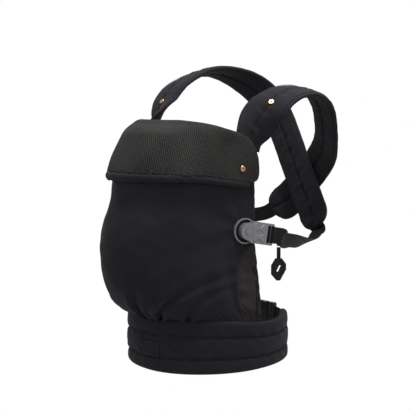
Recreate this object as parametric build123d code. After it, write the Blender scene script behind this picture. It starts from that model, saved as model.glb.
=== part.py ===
from build123d import *
import math
import os

# Soft structured baby carrier, standing as worn: the waist belt is a closed
# ring, the front panel bulges over a seated child, and the two padded
# shoulder straps cross behind the wearer's back.
# While it is modelled, +Z is up, the belt's bottom edge is z = 0, the ring's
# centre is x = y = 0, the child is at -Y and the wearer's left hand is at +X.
# The last section moves everything so that the origin is under the middle.

# ---------------------------------------------------------------- driving sizes
belt_half_width = 144.0        # outer ellipse of the belt, along X
belt_half_depth = 157.0        # and along Y
belt_thickness = 14.0          # cover, foam and lining together
belt_front_height = 100.0
belt_back_height = 87.0
belt_fabric = 2.0              # cover and lining cloth
belt_wing_gap = 148.0          # distance between the two padded ends at the back
belt_corner = 24.0             # rounding of those ends
belt_seam_low = 28.0           # heights of the two quilting seams
belt_seam_high = 69.0
belt_seam_gap = 1.6            # foam left out under a seam
belt_foam_setback = 14.0       # foam stops short of the padded ends

waist_webbing_width = 38.0
waist_webbing_height = 62.0    # centre line
webbing_thickness = 1.8
waist_buckle_x = 10.0          # the buckle's middle, right of the centre line

panel_half_width = 119.0
panel_depth = 237.0            # from the side edges to the front of the bulge
panel_height = 446.0           # top fold line above the floor
panel_cloth = 2.0              # outer cover
panel_lining_cloth = 1.8
panel_edge_y = -2.0            # the side edges lie in this plane
binding_width = 10.0
binding_thickness = 1.0

hood_side_room = 14.0          # the folded head support stands this far out
hood_front_room = 5.4
hood_mesh_thickness = 3.0
hood_lining_thickness = 1.6
hood_rise = 2.0                # its fold passes this far over the panel's edge
crest_drop = 2.5               # the sewn crest reaches this far below the fold
crest_back_y = -104.0
hood_front_drop = 91.0         # from the fold down to the hem, at the front
hood_side_drop = 114.0         # and at the sides
hood_roll_height = 15.0
hood_roll_proud = 3.0

strap_width = 72.0
strap_thickness = 12.0
strap_cloth = 1.6
strap_flare = 23.0             # straps stand this far outside the panel
strap_loop_depth = 284.0       # from the root to the back of the loop
strap_loop_rise = 127.0        # from the root to the top of the loop
strap_webbing_width = 30.0

buckle_height_z = 252.0        # centre of the round base on the panel's side
buckle_set_back = -34.0        # and its place along Y
buckle_standoff = 10.6         # housing's back above the panel
buckle_thickness = 10.0
buckle_rim = 4.5               # housing is this much wider than webbing, each side
base_radius = 23.0
running_clearance = 0.3
rivet_clearance = 0.05

snap_radius = 5.3
snap_hole = 1.5
snap_height = 363.0
snap_set_back = -44.0

# ------------------------------------------------------------- shared geometry
# Rows: height, half width and depth, each as a share of the panel's own.
panel_shape = (
    (0.188, 1.151, 0.616), (0.215, 1.151, 0.650), (0.238, 1.143, 0.726), (0.274, 1.134, 0.827),
    (0.327, 1.109, 0.903), (0.399, 1.067, 0.962), (0.471, 1.013, 1.000), (0.543, 1.000, 1.000),
    (0.614, 1.000, 0.962), (0.686, 1.000, 0.899), (0.758, 1.000, 0.878), (0.830, 1.000, 0.832),
    (0.883, 1.000, 0.781), (0.919, 1.000, 0.741), (0.937, 1.000, 0.720), (0.955, 0.996, 0.694),
    (0.973, 0.992, 0.640), (0.989, 0.983, 0.572), (1.004, 0.975, 0.530),
)
panel_rows = [
    (h * panel_height, w * panel_half_width, d * panel_depth) for h, w, d in panel_shape
]
reach = 2 * (panel_depth + belt_half_depth)      # larger than anything it cuts
span = 2 * (panel_half_width + belt_half_width)


def oval_solid(rows, grow_x, grow_y):
    """A solid of elliptical sections, each made larger by the two amounts."""
    wires = [(Pos(0, 0, z) * Ellipse(a + grow_x, b + grow_y)).wire() for z, a, b in rows]
    return Part() + Solid.make_loft(wires, ruled=True)


def front_shell(rows, out_x, out_y, in_x, in_y):
    """The front half of an oval wall, between two amounts added to the rows."""
    wires = []
    for z, a, b in rows:
        outer = EllipticalCenterArc((0, 0), a + out_x, b + out_y, 180, arc_size=180)
        inner = EllipticalCenterArc((0, 0), a + in_x, b + in_y, 180, arc_size=180)
        ends = [Line(outer @ 1, inner @ 1), Line(outer @ 0, inner @ 0)]
        wires.append((Pos(0, 0, z) * make_face([outer, ends[0], inner, ends[1]])).wire())
    return Part() + Solid.make_loft(wires, ruled=True)


def oval_prism(half_x, half_y, bottom, top):
    """A straight elliptical block between two heights."""
    return extrude(Pos(0, 0, bottom) * Ellipse(half_x, half_y), top - bottom)


def side_prism(outline):
    """A profile drawn as (y, z), carried right across the width."""
    return extrude(Plane.YZ * outline, span, both=True)


def row_at(height):
    """Half width and depth of the panel at a height, between its rows."""
    for (z0, a0, b0), (z1, a1, b1) in zip(panel_rows, panel_rows[1:]):
        if z0 <= height <= z1:
            t = (height - z0) / (z1 - z0)
            return a0 + t * (a1 - a0), b0 + t * (b1 - b0)
    return panel_rows[-1][1:]


pieces = {}

# ------------------------------------------------------------------ waist belt
belt_top = make_face(Polyline(
    (-reach, 0), (reach, 0), (reach, belt_back_height), (0, belt_back_height),
    (-0.45 * belt_half_depth, 0.5 * (belt_back_height + belt_front_height) + 1),
    (-belt_half_depth, belt_front_height), (-reach, belt_front_height), close=True))
belt_inner_top = make_face(Polyline(
    (-reach, 0), (reach, 0), (reach, belt_back_height - belt_fabric),
    (0, belt_back_height - belt_fabric),
    (-0.45 * belt_half_depth, 0.5 * (belt_back_height + belt_front_height) + 1 - belt_fabric),
    (-belt_half_depth, belt_front_height - belt_fabric),
    (-reach, belt_front_height - belt_fabric), close=True))


def belt_ring(inset_out, inset_in, bottom, profile, end_gap, corner):
    """Part of the belt between two offsets, with rounded ends at the back."""
    ring = oval_prism(belt_half_width - inset_out, belt_half_depth - inset_out, bottom,
                      belt_front_height)
    ring -= oval_prism(belt_half_width - inset_in, belt_half_depth - inset_in, bottom,
                       belt_front_height)
    ring &= side_prism(profile)
    front = Pos(0, -reach / 2, 0) * Box(2 * span, reach, reach)
    top = belt_back_height - bottom
    wing = RectangleRounded(span, top - bottom, min(corner, 0.45 * (top - bottom)))
    wings = front
    for side in (-1, 1):
        place = Pos(side * (end_gap / 2 + span / 2), 0, (top + bottom) / 2)
        wings += place * extrude(Plane.XZ * wing, -reach)
    return ring & wings


belt_middle = belt_thickness / 2
belt_whole = belt_ring(0, belt_thickness, 0, belt_top, belt_wing_gap, belt_corner)
belt_core = belt_ring(belt_fabric, belt_thickness - belt_fabric, belt_fabric, belt_inner_top,
                      belt_wing_gap + 2 * belt_foam_setback, belt_corner)
belt_pocket = belt_ring(belt_fabric, belt_thickness - belt_fabric, belt_fabric, belt_inner_top,
                        belt_wing_gap + 2 * belt_fabric, belt_corner)
belt_half = oval_prism(belt_half_width - belt_middle, belt_half_depth - belt_middle,
                       -1, belt_front_height + 1)

# Webbing is sewn into the open end of each padded wing and runs to the buckle.
webbing_ring = oval_prism(
    belt_half_width - belt_middle + webbing_thickness / 2,
    belt_half_depth - belt_middle + webbing_thickness / 2,
    waist_webbing_height - waist_webbing_width / 2, waist_webbing_height + waist_webbing_width / 2)
webbing_ring -= oval_prism(
    belt_half_width - belt_middle - webbing_thickness / 2,
    belt_half_depth - belt_middle - webbing_thickness / 2,
    waist_webbing_height - waist_webbing_width / 2, waist_webbing_height + waist_webbing_width / 2)
webbing_root = belt_wing_gap / 2 + belt_foam_setback - 1
waist_web_slot = webbing_ring & (
    Pos(0, reach / 2, 0) * Box(2 * webbing_root, reach, reach))

belt_shell = belt_whole - belt_pocket - waist_web_slot
pieces["belt_cover"] = belt_shell - belt_half
pieces["belt_lining"] = belt_shell & belt_half
foam_bands = {
    "belt_foam_lower": (0, belt_seam_low - belt_seam_gap / 2),
    "belt_foam_middle": (belt_seam_low + belt_seam_gap / 2, belt_seam_high - belt_seam_gap / 2),
    "belt_foam_upper": (belt_seam_high + belt_seam_gap / 2, belt_front_height),
}
for name, (low, high) in foam_bands.items():
    band = Pos(0, 0, (low + high) / 2) * Box(2 * span, 2 * reach, high - low)
    pieces[name] = belt_core & band

# Reinforcing patch, box-stitched to the middle of the front.
patch_width, patch_height, patch_thickness = 56.0, 36.0, 1.2
patch_x, patch_z = 7.0, 45.0
patch = oval_prism(belt_half_width + patch_thickness, belt_half_depth + patch_thickness,
                   0, belt_back_height)
patch -= oval_prism(belt_half_width, belt_half_depth, 0, belt_back_height)
patch_outline = RectangleRounded(patch_width, patch_height, 3)
pieces["belt_patch"] = patch & (
    Pos(patch_x, 0, patch_z) * extrude(Plane.XZ * patch_outline, reach))

# ----------------------------------------------------------------- front panel
panel_out = oval_solid(panel_rows, 0, 0)
panel_wall = panel_cloth + panel_lining_cloth
fold_y = -(panel_rows[-1][2] + hood_front_room - hood_mesh_thickness)
fold_z = panel_height
# Top edge, seen from the side: level across the front, then falling to the straps.
edge_fall = ((-120, 0), (-89, -6), (-60, -14), (-28, -27), (-10, -42), (0, -58))
side_share = panel_depth / 237.0
panel_edge = [(y * side_share + panel_edge_y, panel_height - 2 + dz) for y, dz in edge_fall]
panel_side = make_face(Polyline(
    (-reach, 0), (panel_edge_y, 0), *reversed(panel_edge), (-reach, panel_height - 2),
    close=True))
panel_keep = side_prism(panel_side)
under_belt_top = oval_prism(
    belt_half_width + 30, belt_half_depth + 30, -1, belt_front_height) & side_prism(belt_top)

gusset_front = Spline((-10, 0.515 * panel_height), (-30, 0.462 * panel_height),
                      (-43, 0.39 * panel_height), (-46, 0.32 * panel_height),
                      (-38, 0.258 * panel_height), (-26, 0.19 * panel_height))
gusset_outline = make_face([
    gusset_front, Line((-26, 0.19 * panel_height), (20, 0.19 * panel_height)),
    Line((20, 0.19 * panel_height), (20, 0.515 * panel_height)),
    Line((20, 0.515 * panel_height), (-10, 0.515 * panel_height))])
gusset_cut = side_prism(gusset_outline)

panel_layers = {"cover": (0, -panel_cloth), "lining": (-panel_cloth, -panel_wall),
                "whole": (0, -panel_wall), "binding": (binding_thickness, 0)}
panel_skins = {
    name: (front_shell(panel_rows, outer, outer, inner, inner) & panel_keep) - under_belt_top
    for name, (outer, inner) in panel_layers.items()}
pieces["panel_cover"] = panel_skins["cover"] - gusset_cut
pieces["panel_lining"] = panel_skins["lining"] - gusset_cut
gussets = panel_skins["whole"] & gusset_cut
binding = panel_skins["binding"] & (
    Pos(0, panel_edge_y - binding_width / 2, 0.67 * panel_height)
    * Box(2 * span, binding_width, 0.28 * panel_height))
for side, word in ((-1, "right"), (1, "left")):
    half = Pos(side * span, 0, 0) * Box(2 * span, 2 * reach, 3 * panel_height)
    pieces[f"leg_gusset_{word}"] = gussets & half
    pieces[f"edge_binding_{word}"] = binding & half

# ---------------------------------------------------------------- head support
# Stored folded outward over the panel, with its wings back to the side edges.
hood_rows = [row for row in panel_rows if row[0] > 0.62 * panel_height]
hood_rows[-1] = (panel_height + hood_rise, hood_rows[-1][1], hood_rows[-1][2])
hood_total = hood_mesh_thickness + hood_lining_thickness


def hood_layer(outer, inner):
    """One layer of the head support, from how far it lies inside the outer face."""
    return front_shell(hood_rows, hood_side_room - outer, hood_front_room - outer,
                       hood_side_room - inner, hood_front_room - inner)


# The turning part stops short of the fold; a sewn crest closes the gap at the front.
hood_fall = ((-120, -9), (-89, -18), (-60, -27), (-28, -38), (-10, -48))
hood_top = [(y * side_share + panel_edge_y, panel_height + hood_rise + dz)
            for y, dz in hood_fall]
hem_front = panel_height - hood_front_drop
hem_side = panel_height - hood_side_drop
hem = [(-reach, hem_front), (-0.92 * panel_depth, hem_front),
       (-0.55 * panel_depth, hem_front - 4), (-0.2 * panel_depth, hem_side + 7),
       (panel_edge_y, hem_side)]
wing_top = (panel_edge_y, panel_height - 52)
hood_profile = make_face(Polyline(
    *hem, wing_top, *reversed(hood_top), (-reach, hood_top[0][1]), close=True))
hood_profile = fillet(
    hood_profile.vertices().filter_by(lambda v: abs(v.X - panel_edge_y) < 0.01), 12)
roll_profile = make_face(Polyline(
    *[(y, z - running_clearance) for y, z in hem[:-1]],
    (panel_edge_y - 10, hem_side + 1), (panel_edge_y - 10, hem_side - 6),
    (-0.2 * panel_depth, hem_side - 4), (-0.55 * panel_depth, hem_front - hood_roll_height - 1),
    (-0.92 * panel_depth, hem_front - hood_roll_height), (-reach, hem_front - hood_roll_height),
    close=True))
pieces["head_support_mesh"] = hood_layer(0, hood_mesh_thickness) & side_prism(hood_profile)
pieces["head_support_lining"] = (
    hood_layer(hood_mesh_thickness, hood_total) & side_prism(hood_profile))
crest_profile = make_face(Polyline(
    (-reach, panel_height - crest_drop), (crest_back_y, panel_height - crest_drop),
    (crest_back_y, panel_height + hood_rise), (-reach, panel_height + hood_rise), close=True))
pieces["head_support_crest"] = hood_layer(0, hood_total) & side_prism(crest_profile)
pieces["head_support_roll"] = hood_layer(-hood_roll_proud, hood_total) & side_prism(roll_profile)


# -------------------------------------------------------------- shoulder straps
def stations_of(route):
    """Turns rows of (place, outward, width share) into stations square to the route."""
    found = []
    for k, (place, outward, share) in enumerate(route):
        ahead = route[min(k + 1, len(route) - 1)][0] - route[max(k - 1, 0)][0]
        ahead = ahead.normalized()
        normal = (outward - ahead * outward.dot(ahead)).normalized()
        found.append((place, ahead.cross(normal), normal, share))
    return found


root_y, root_z = -25.0, 0.885 * panel_height
strap_root_x = panel_half_width + strap_thickness * 0.25 + 0.2
spread = panel_half_width + strap_flare
deep = strap_loop_depth / 284.0
tall = strap_loop_rise / 127.0


def back_place(x, y, z):
    """A point of the loop, from shares of the spread and heights above the root."""
    return Vector(x * spread, root_y + (y - root_y) * deep, root_z + z * tall)


# Each row: place, outward direction, share of the full width.
first_rows = [
    (Vector(strap_root_x, root_y, root_z), Vector(1, -0.09, 0), 0.80),
    (Vector(strap_root_x + 1, root_y + 3, root_z + 16), Vector(1, -0.12, 0.02), 0.84),
]
near_rows = first_rows + [      # +X strap, outermost where the two cross
    (back_place(0.915, -5, 49), Vector(0.80, -0.50, 0.32), 0.97),
    (back_place(0.993, 19, 81), Vector(0.35, -0.76, 0.55), 1.0),
    (back_place(1.000, 46, 96), Vector(0.25, -0.45, 0.86), 1.0),
    (back_place(1.000, 76, 103), Vector(0.22, -0.12, 0.97), 1.0),
    (back_place(0.990, 118, 102), Vector(0.22, 0.15, 0.96), 1.0),
    (back_place(0.945, 158, 86), Vector(0.28, 0.55, 0.78), 1.0),
    (back_place(0.865, 190, 58), Vector(0.34, 0.78, 0.52), 1.0),
    (back_place(0.745, 217, 23), Vector(0.32, 0.88, 0.34), 1.0),
    (back_place(0.535, 249, -12), Vector(0.22, 0.95, 0.22), 1.0),
    (back_place(0.255, 272, -45), Vector(0.10, 0.98, 0.12), 1.0),
    (back_place(0.000, 289, -71), Vector(0.02, 1.00, 0.06), 1.0),
    (back_place(-0.230, 291, -103), Vector(-0.05, 1.00, 0.02), 1.0),
    (back_place(-0.410, 283, -128), Vector(-0.22, 0.97, 0.00), 0.90),
    (back_place(-0.500, 270, -137), Vector(-0.32, 0.95, 0.00), 0.72),
    (back_place(-0.550, 265, -142), Vector(-0.38, 0.92, 0.00), 0.46),
]
far_rows = first_rows + [       # -X strap, mirrored further on: next to the wearer
    (back_place(0.925, -5, 49), Vector(0.66, -0.62, 0.34), 0.97),
    (back_place(0.993, 19, 81), Vector(0.18, -0.82, 0.52), 1.0),
    (back_place(0.995, 45, 108), Vector(0.12, -0.58, 0.80), 1.0),
    (back_place(0.985, 76, 126), Vector(0.14, -0.29, 0.94), 1.0),
    (back_place(0.965, 120, 141), Vector(0.18, -0.05, 0.98), 1.0),
    (back_place(0.925, 166, 143), Vector(0.20, 0.22, 0.95), 1.0),
    (back_place(0.850, 212, 131), Vector(0.26, 0.60, 0.75), 1.0),
    (back_place(0.680, 252, 100), Vector(0.30, 0.84, 0.44), 1.0),
    (back_place(0.480, 270, 56), Vector(0.22, 0.95, 0.20), 1.0),
    (back_place(0.240, 264, 6), Vector(0.10, 0.99, 0.06), 1.0),
    (back_place(0.000, 259, -56), Vector(0.00, 1.00, -0.02), 1.0),
    (back_place(-0.130, 256, -90), Vector(-0.04, 1.00, -0.06), 1.0),
    (back_place(-0.270, 252, -120), Vector(-0.08, 0.98, -0.16), 1.0),
    (back_place(-0.370, 248, -146), Vector(-0.12, 0.95, -0.28), 0.88),
    (back_place(-0.410, 243, -160), Vector(-0.16, 0.93, -0.33), 0.70),
    (back_place(-0.435, 240, -169), Vector(-0.18, 0.92, -0.36), 0.44),
]


def mirrored(rows):
    """The same rows on the other side of the centre plane."""
    return [(Vector(-p.X, p.Y, p.Z), Vector(-n.X, n.Y, n.Z), s) for p, n, s in rows]


half_w, half_t = strap_width / 2, strap_thickness / 2
crown = [(-1.0, 0.0), (-0.95, 0.62), (-0.52, 1.0), (0.0, 0.80), (0.52, 1.0), (0.95, 0.62),
         (1.0, 0.0)]
outer_line = [(u * half_w, v * half_t) for u, v in crown]
core_line = [(u * (half_w - strap_cloth), v * (half_t - strap_cloth)) for u, v in crown]
cover_line = outer_line + core_line[::-1]
lining_line = [(u, -v) for u, v in cover_line]
padding_line = core_line + [(u, -v) for u, v in core_line[-2:0:-1]]
strap_rows = {"left": near_rows, "right": mirrored(far_rows)}
root_share = {0: 0.45, 1: 0.55, 2: 0.85}         # the padding thins out at the root
for word, rows in strap_rows.items():
    stations = stations_of(rows)
    parts = {"cover": cover_line, "lining": lining_line, "padding": padding_line}
    for kind, line in parts.items():
        wires = []
        for k, (place, across, outward, share) in enumerate(stations):
            thin = root_share.get(k, 1.0 if k < len(stations) - 1 else 0.7)
            points = [place + across * (u * share) + outward * (v * thin) for u, v in line]
            wires.append(Wire.make_polygon(points, close=True))
        pieces[f"shoulder_strap_{kind}_{word}"] = Part() + Solid.make_loft(wires, ruled=True)


# -------------------------------------------------------------------- buckles
def buckle_frame(side):
    """Where a side buckle sits: x runs along the webbing, z out of the panel."""
    a, b = row_at(buckle_height_z)
    x = a * math.sqrt(1 - (buckle_set_back / b) ** 2) + buckle_standoff
    along = Vector(side * 0.255, 0.95, -0.186).normalized()
    outward = Vector(side * 1.0, -0.072, 0).normalized()
    outward = (outward - along * outward.dot(along)).normalized()
    return Plane(origin=(side * x, buckle_set_back, buckle_height_z), x_dir=along, z_dir=outward)


def block(x0, x1, y0, y1, z0, z1, corner=0.0):
    """A box between two corners, with rounded upright edges."""
    shape = Pos((x0 + x1) / 2, (y0 + y1) / 2, z0) * extrude(
        RectangleRounded(x1 - x0, y1 - y0, corner) if corner else Rectangle(x1 - x0, y1 - y0),
        z1 - z0)
    return shape


body_start, mouth = 6.0, 36.0                  # housing body, along the webbing
ladder_end = 54.0
cover_plate = 2.0                              # housing's front and back plates
prong_pivot_x, prong_pivot_y = 33.4, 10.6
prong_root_radius = 2.6
housing_web = 7.0                              # solid end between the two plates
slot_gap = 4.0                                 # webbing slots in the ladder


def buckle_housing(webbing, round_tail):
    """Socket half: a flat box open at the mouth and along both sides."""
    half = webbing / 2 + buckle_rim
    shape = block(body_start, mouth, -half, half, 0, buckle_thickness, 3)
    if round_tail:
        neck = make_face(Polyline((0, -15), (body_start + 6, -half + 1),
                                  (body_start + 6, half - 1), (0, 15), close=True))
        shape += extrude(neck, buckle_thickness)
        shape += extrude(Circle(15), buckle_thickness)
        shape -= extrude(Circle(4 + rivet_clearance), buckle_thickness)
    else:
        shape += block(-14, body_start + 4, -half, half, 0, buckle_thickness, 3)
        shape -= block(-9, -9 + slot_gap, -webbing / 2 - 1, webbing / 2 + 1, 0, buckle_thickness, 1)
    return shape - block(body_start + housing_web, mouth + 1, -half - 1, half + 1,
                         cover_plate, buckle_thickness - cover_plate)


def buckle_insert(webbing):
    """Plug half: two-slot ladder for the webbing, with a guide tongue."""
    half = webbing / 2 + buckle_rim
    shape = block(mouth + running_clearance, ladder_end, -half, half, 1, buckle_thickness - 1, 3)
    for start in (mouth + 4.4, mouth + 11.4):
        shape -= block(start, start + slot_gap, -webbing / 2 - 0.8, webbing / 2 + 0.8,
                       0, buckle_thickness, 1)
    tongue = block(body_start + 8, mouth + 1, -4, 4, cover_plate + 0.5,
                   buckle_thickness - cover_plate - 0.5)
    return shape + tongue


def buckle_prong(webbing, side):
    """Sprung arm with its release pad, standing in the housing's side window."""
    half = webbing / 2 + buckle_rim
    pivot_y = prong_pivot_y * webbing / 30.0
    arm = make_face(Polyline(
        (prong_pivot_x, pivot_y - 2.0), (prong_pivot_x, pivot_y + 2.0), (29, half - 5.5),
        (29, half - 0.6), (20, half - 0.6), (16.5, half - 4.4), (17.5, half - 6.5),
        (24, half - 8.0), close=True))
    arm += Pos(prong_pivot_x, pivot_y) * Circle(prong_root_radius - 0.3)
    shape = extrude(Pos(0, 0, cover_plate + 0.9) * arm, buckle_thickness - 2 * cover_plate - 1.8)
    return shape if side > 0 else mirror(shape, about=Plane.XZ)


side_frames = {"left": buckle_frame(1), "right": buckle_frame(-1)}
for word, frame in side_frames.items():
    place = frame.location
    base_top = -running_clearance
    base = Pos(0, 0, base_top - 5) * extrude(Circle(base_radius), 3)
    base += Pos(0, 0, base_top - 5) * extrude(Circle(base_radius) - Circle(base_radius - 2.6), 5)
    base += Pos(0, 0, base_top - 5) * extrude(Circle(9), 5)
    base -= Pos(0, 0, base_top - 5) * extrude(Circle(4 + rivet_clearance), 6)
    rivet = Pos(0, 0, base_top - 5) * extrude(Circle(4), buckle_thickness + 5.6)
    rivet += Pos(0, 0, buckle_thickness + 0.1) * extrude(Circle(6.2), 1.6)
    anchor = Pos(0, 0, base_top - 5 - 20) * extrude(Circle(base_radius - 5), 20)
    pieces[f"buckle_anchor_patch_{word}"] = (place * anchor) - panel_out
    pieces[f"buckle_base_{word}"] = place * base
    pieces[f"buckle_rivet_{word}"] = place * rivet
    pieces[f"buckle_housing_{word}"] = place * buckle_housing(strap_webbing_width, True)
    pieces[f"buckle_insert_{word}"] = place * buckle_insert(strap_webbing_width)
    for side, edge in ((1, "upper"), (-1, "lower")):
        # local +Y points down on one side of the body and up on the other
        up = frame.y_dir.Z > 0
        face = side if up else -side
        pieces[f"buckle_prong_{edge}_{word}"] = place * buckle_prong(strap_webbing_width, face)
    # Webbing folded back on itself and stitched, just behind the ladder.
    fold = block(ladder_end + 0.4, ladder_end + 15, -strap_webbing_width / 2,
                 strap_webbing_width / 2, 2.4, 2.4 + 3 * webbing_thickness, 1)
    pieces[f"webbing_fold_{word}"] = place * fold

waist_y = belt_half_depth - belt_middle
waist_frame = Plane(origin=(waist_buckle_x - 27, waist_y - buckle_thickness / 2,
                            waist_webbing_height), x_dir=(1, 0, 0), z_dir=(0, 1, 0))
waist = waist_frame.location
pieces["waist_buckle_housing"] = waist * buckle_housing(waist_webbing_width, False)
pieces["waist_buckle_insert"] = waist * buckle_insert(waist_webbing_width)
waist_up = waist_frame.y_dir.Z > 0
for side, edge in ((1, "upper"), (-1, "lower")):
    face = side if waist_up else -side
    pieces[f"waist_buckle_prong_{edge}"] = waist * buckle_prong(waist_webbing_width, face)

housing_tail_x = waist_buckle_x - 27 - 14
insert_end_x = waist_buckle_x - 27 + ladder_end
pieces["waist_webbing_right"] = webbing_ring & (
    Pos((housing_tail_x - running_clearance - webbing_root) / 2, reach / 2, 0)
    * Box(webbing_root + housing_tail_x - running_clearance, reach, reach))
pieces["waist_webbing_left"] = webbing_ring & (
    Pos((insert_end_x + running_clearance + webbing_root) / 2, reach / 2, 0)
    * Box(webbing_root - insert_end_x - running_clearance, reach, reach))

# ------------------------------------------------------- strap webbing and tabs
flat = [(-0.5, -0.5), (0.5, -0.5), (0.5, 0.5), (-0.5, 0.5)]
webbing_line = [(u * strap_webbing_width, v * webbing_thickness) for u, v in flat]


def webbing_strip(rows):
    """Flat webbing through rows of (place, width direction)."""
    wires = []
    for k, (place, across) in enumerate(rows):
        ahead = (rows[min(k + 1, len(rows) - 1)][0] - rows[max(k - 1, 0)][0]).normalized()
        across = (across - ahead * across.dot(ahead)).normalized()
        normal = ahead.cross(across)
        points = [place + across * u + normal * v for u, v in webbing_line]
        wires.append(Wire.make_polygon(points, close=True))
    return Part() + Solid.make_loft(wires, ruled=True)


def pad_end(rows, past):
    """A place just past the end of a padded strap, and its width direction."""
    stations = stations_of(rows)
    place, across = stations[-1][0], stations[-1][1]
    ahead = (rows[-1][0] - rows[-2][0]).normalized()
    return place + ahead * past, across


hang_frames = {}
# From each side buckle round the wearer's side to the strap that comes from the
# opposite shoulder.
for word, side, rows in (("left", 1, strap_rows["right"]), ("right", -1, strap_rows["left"])):
    frame = side_frames[word]
    start = frame.from_local_coords(Vector(ladder_end + 19.5, 0, 5.1))
    upright = frame.y_dir if frame.y_dir.Z > 0 else -frame.y_dir
    end, across = pad_end(rows, 1.6)
    if across.Z < 0:
        across = -across
    gap = end - start
    if side > 0:
        middle = [((0.10, 0.9, -9, 0), upright), ((0.30, 6.0, -15, 0), Vector(0.10, 0.25, 0.96)),
                  ((0.52, 9.5, -22, 0), Vector(0.45, 0.22, 0.86)),
                  ((0.70, 9.0, -22, 0), Vector(0.85, 0.2, 0.45)),
                  ((0.86, 8.0, -16, 0), Vector(0.96, 0.2, 0.20)),
                  ((0.97, 6.0, -6, 6), Vector(0.95, 0.0, 0.32))]
    else:
        middle = [((0.08, -3.0, -2, 0), upright), ((0.25, -14, -6, 0), Vector(0, 0.1, 1)),
                  ((0.45, -22, -10, 0), Vector(0, 0, 1)), ((0.65, -25, -13, 4), Vector(0, 0, 1)),
                  ((0.82, -21, -14, 8), Vector(-0.1, 0, 1)),
                  ((0.94, -9, -9, 8), Vector(-0.3, 0, 0.95))]
    route = [(start, upright)]
    for (share, dx, dz, dy), direction in middle:
        route.append((start + gap * share + Vector(dx, dy, dz), direction))
    route.append((end, across))
    pieces[f"strap_webbing_{word}"] = webbing_strip(route)

    # Narrow tape and moulded pull tab that hang from the folded webbing.
    hang = frame.from_local_coords(Vector(ladder_end + 12, 0, 5.1))
    hang = Vector(hang.X + side * 2.0, hang.Y, hang.Z - strap_webbing_width / 2 - 5.0)
    hang_frame = Plane(origin=hang, x_dir=(0.7071, side * 0.7071, 0),
                       z_dir=(side * 0.7071, -0.7071, 0))
    hang_frames[word] = hang_frame
    tape_width, tape_length, tape_thick = 7.0, 20.0, 1.6
    tape = Pos(0, -tape_length / 2 - 0.5, 0) * Box(tape_width, tape_length, tape_thick)
    tab_outline = make_face(Polyline(
        (-6, 0), (6, 0), (13.5, -10), (13.5, -20), (3, -40), (-4, -40), (-13.5, -29), (-13.5, -13),
        close=True))
    tab_outline = fillet(tab_outline.vertices(), 2.2)
    tab = extrude(Pos(0, -tape_length - 0.6, -2.5) * tab_outline, 5)
    hollow = offset(tab_outline, -3.2, kind=Kind.INTERSECTION)
    tab -= extrude(Pos(0, -tape_length - 0.6, 1.3) * hollow, 2)
    slit = Pos(0, -tape_length - 19, 0) * Rot(0, 0, -25) * extrude(
        RectangleRounded(3, 13, 1.4), 6, both=True)
    pieces[f"pull_tape_{word}"] = hang_frame.location * tape
    pieces[f"pull_tab_{word}"] = hang_frame.location * (tab - slit)


# --------------------------------------------------------------- press studs
def ring_cap(radius, hole, height):
    """Round cap with a small hole and a turned-down rim."""
    shape = extrude(Circle(radius), height)
    shape = chamfer(shape.faces().sort_by(Axis.Z)[-1].edges(), 0.45 * height)
    return shape - extrude(Circle(hole), height)


for side, word in ((1, "left"), (-1, "right")):
    a, b = row_at(snap_height)
    for kind, grow, thick, radius, hole in (
            ("cap", hood_side_room, 1.6, snap_radius, snap_hole),
            ("socket", hood_side_room - hood_total - 2.4, 1.6, snap_radius, 2.6),
            ("stud", 0.0, 1.8, snap_radius - 0.6, 0.8)):
        x = (a + grow) * math.sqrt(1 - (snap_set_back / (b + hood_front_room)) ** 2) + 0.15
        normal = Vector(side, snap_set_back * a / b ** 2, 0).normalized()
        here = Plane(origin=(side * x, snap_set_back, snap_height), x_dir=(0, 0, 1), z_dir=normal)
        node = f"head_snap_{kind}_{word}"
        pieces[node] = here.location * ring_cap(radius, hole, thick)

for word, rows in strap_rows.items():
    place, across, outward, share = stations_of(rows)[3]
    here = Plane(origin=place + outward * (0.80 * half_t + 0.6), x_dir=across, z_dir=outward)
    pieces[f"strap_snap_{word}"] = here.location * ring_cap(snap_radius, snap_hole, 1.6)

# ------------------------------------------------------- place and write files
boxes = [shape.bounding_box() for shape in pieces.values()]
low = [min(getattr(box.min, axis) for box in boxes) for axis in "XYZ"]
high = [max(getattr(box.max, axis) for box in boxes) for axis in "XYZ"]
shift = Vector(-(low[0] + high[0]) / 2, -(low[1] + high[1]) / 2, -low[2])
print("size", [round(h - l, 2) for l, h in zip(low, high)], "moved by",
      [round(v, 3) for v in (shift.X, shift.Y, shift.Z)])


def report(name, point, direction):
    """Prints a joint's place and axis in metres, in the finished frame."""
    moved = point + shift
    print(name, [round(v / 1000, 5) for v in (moved.X, moved.Y, moved.Z)],
          [round(v, 5) for v in (direction.X, direction.Y, direction.Z)])


report("head_support_fold", Vector(0, fold_y, fold_z), Vector(-1, 0, 0))
for word, frame, width in (("left", side_frames["left"], strap_webbing_width),
                           ("right", side_frames["right"], strap_webbing_width),
                           ("waist", waist_frame, waist_webbing_width)):
    report(f"{word} slide", frame.origin, frame.x_dir)
    for face in (1, -1):
        pivot = Vector(prong_pivot_x, face * prong_pivot_y * width / 30, buckle_thickness / 2)
        is_up = (frame.y_dir.Z > 0) == (face > 0)
        report(f"{word} prong {'upper' if is_up else 'lower'}",
               frame.from_local_coords(pivot), frame.z_dir * face)

for word, frame in hang_frames.items():
    report(f"{word} tab", frame.origin, frame.z_dir)

os.makedirs("parts", exist_ok=True)
for name, shape in pieces.items():
    export_step(Pos(shift.X, shift.Y, shift.Z) * shape, f"parts/{name}.step")
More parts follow.
